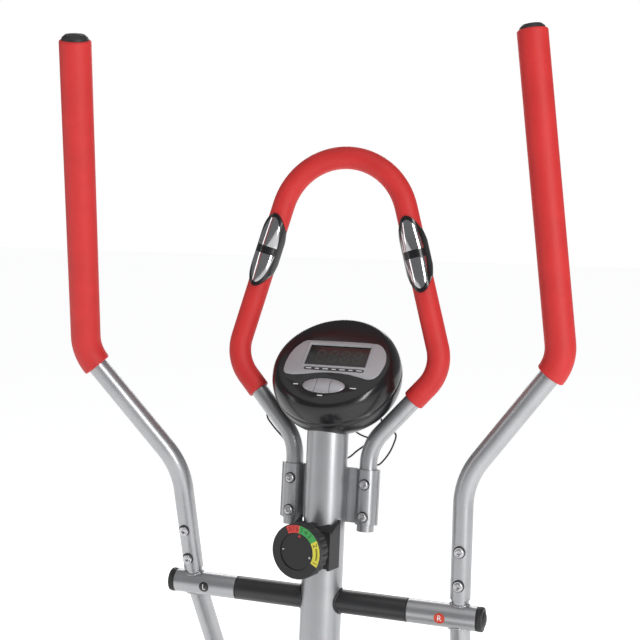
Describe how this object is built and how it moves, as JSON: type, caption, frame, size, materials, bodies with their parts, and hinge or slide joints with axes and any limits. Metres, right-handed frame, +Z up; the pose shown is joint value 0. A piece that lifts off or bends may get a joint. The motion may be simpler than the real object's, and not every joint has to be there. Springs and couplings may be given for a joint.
{
  "type": "elliptical trainer",
  "caption": "Rear-crank elliptical trainer with swinging arms, a fixed looped handlebar with pulse grips, a round console, a tension knob and a magnetic flywheel.",
  "frame": {"origin": "on the floor, under the middle of the machine", "axes": "+X is the rider's right, +Y is forward (towards the console), +Z is up"},
  "size_m": [0.701, 1.1459, 1.6146],
  "materials": {
    "silver_paint": "metallic silver-grey powder coat",
    "black_paint": "satin black powder coat",
    "zinc_steel": "bright zinc plate",
    "red_foam": "fine closed-cell foam",
    "black_plastic": "fine textured",
    "gloss_black": "gloss",
    "silver_plastic": "satin silver",
    "chrome_plate": "polished",
    "lcd_glass": "dark, clear",
    "board_green": "solder mask",
    "cord_rubber": "satin",
    "cast_iron": "turned",
    "wheel_rubber": "hard, smooth"
  },
  "bodies": {
    "frame": {"main_frame": "silver_paint", "front_stabilizer": "black_paint", "rear_stabilizer": "black_paint", "stabilizer_caps": "black_plastic", "frame_fasteners": "zinc_steel", "upright_post": "silver_paint", "cross_axle": "zinc_steel", "axle_sleeves": "black_plastic", "axle_end_caps": "black_plastic", "fixed_handlebar": "silver_paint", "handlebar_foam": "red_foam", "handlebar_clamps": "silver_paint", "pulse_housings": "black_plastic", "pulse_plates": "chrome_plate", "console_front_shell": "gloss_black", "console_rear_shell": "black_plastic", "console_fascia": "silver_plastic", "lcd_window": "lcd_glass", "display_board": "board_green", "knob_housing": "black_plastic", "knob_pointer": "black_plastic", "tension_cable": "cord_rubber", "sensor_lead": "cord_rubber", "pulse_lead_left": "cord_rubber", "pulse_lead_right": "cord_rubber", "crank_bearings": "zinc_steel", "drive_belt": "cord_rubber", "flywheel_axle": "zinc_steel", "cover_left": "black_plastic", "cover_right": "black_plastic"},
    "key_left": {"key_left": "silver_plastic"},
    "key_middle": {"key_middle": "silver_plastic"},
    "key_right": {"key_right": "silver_plastic"},
    "knob": {"tension_knob": "black_plastic"},
    "brake": {"magnet_bracket": "zinc_steel"},
    "crank": {"crank_axle": "zinc_steel", "crank_pulley": "black_plastic", "crank_left": "zinc_steel", "crank_right": "zinc_steel"},
    "left_bar": {"pedal_bar_left": "black_paint", "pedal_left": "black_plastic", "bar_bolts_left": "zinc_steel"},
    "right_bar": {"pedal_bar_right": "black_paint", "pedal_right": "black_plastic", "bar_bolts_right": "zinc_steel"},
    "left_arm": {"lower_arm_left": "silver_paint", "handle_left": "silver_paint", "handle_foam_left": "red_foam", "handle_cap_left": "black_plastic", "arm_bolts_left": "zinc_steel", "arm_bushings_left": "black_plastic"},
    "right_arm": {"lower_arm_right": "silver_paint", "handle_right": "silver_paint", "handle_foam_right": "red_foam", "handle_cap_right": "black_plastic", "arm_bolts_right": "zinc_steel", "arm_bushings_right": "black_plastic"},
    "flywheel": {"flywheel": "cast_iron"},
    "wheel_left": {"transport_wheel_left": "wheel_rubber"},
    "wheel_right": {"transport_wheel_right": "wheel_rubber"}
  },
  "joints": [
    {"name": "crank_turn", "type": "hinge", "parent": "frame", "child": "crank", "pos_m": [0, -0.395, 0.235], "axis": [-1, 0, 0], "range_deg": [0, 180]},
    {"name": "left_arm_swing", "type": "hinge", "parent": "frame", "child": "left_arm", "pos_m": [0, 0.245, 0.8], "axis": [1, 0, 0], "range_deg": [-17.2, 0]},
    {"name": "right_arm_swing", "type": "hinge", "parent": "frame", "child": "right_arm", "pos_m": [0, 0.245, 0.8], "axis": [1, 0, 0], "range_deg": [0, 17.2]},
    {"name": "left_bar_pivot", "type": "hinge", "parent": "crank", "child": "left_bar", "pos_m": [0, -0.31234, 0.32199], "axis": [1, 0, 0], "range_deg": [0, 187.69]},
    {"name": "right_bar_pivot", "type": "hinge", "parent": "crank", "child": "right_bar", "pos_m": [0, -0.47766, 0.14801], "axis": [1, 0, 0], "range_deg": [0, 172.71]},
    {"name": "flywheel_spin", "type": "hinge", "parent": "frame", "child": "flywheel", "pos_m": [0, -0.19, 0.215], "axis": [-1, 0, 0], "range_deg": [0, 1153]},
    {"name": "knob_turn", "type": "hinge", "parent": "frame", "child": "knob", "pos_m": [0, 0.25425, 0.88248], "axis": [-0.1564, -0.9815, 0.1101], "range_deg": [-30, 100]},
    {"name": "brake_swing", "type": "hinge", "parent": "frame", "child": "brake", "pos_m": [0, -0.23, 0.323], "axis": [1, 0, 0], "range_deg": [-1.1, 3.4]},
    {"name": "key_left_press", "type": "slide", "parent": "frame", "child": "key_left", "axis": [0, 0.6018, -0.7986], "range_m": [0, 0.0012], "stiffness_N_per_m": 400},
    {"name": "key_middle_press", "type": "slide", "parent": "frame", "child": "key_middle", "axis": [0, 0.6018, -0.7986], "range_m": [0, 0.0012], "stiffness_N_per_m": 400},
    {"name": "key_right_press", "type": "slide", "parent": "frame", "child": "key_right", "axis": [0, 0.6018, -0.7986], "range_m": [0, 0.0012], "stiffness_N_per_m": 400},
    {"name": "wheel_left_roll", "type": "hinge", "parent": "frame", "child": "wheel_left", "pos_m": [-0.262, 0.557, 0.019], "axis": [1, 0, 0], "continuous": true},
    {"name": "wheel_right_roll", "type": "hinge", "parent": "frame", "child": "wheel_right", "pos_m": [0.262, 0.557, 0.019], "axis": [1, 0, 0], "continuous": true}
  ],
  "couplings": [
    {"joint": "left_arm_swing", "follows": "crank_turn", "ratio": -0.094444},
    {"joint": "right_arm_swing", "follows": "crank_turn", "ratio": 0.094444},
    {"joint": "left_bar_pivot", "follows": "crank_turn", "ratio": 1.0416},
    {"joint": "right_bar_pivot", "follows": "crank_turn", "ratio": 0.95839},
    {"joint": "flywheel_spin", "follows": "crank_turn", "ratio": 6.4},
    {"joint": "brake_swing", "follows": "knob_turn", "ratio": 0.033333}
  ]
}
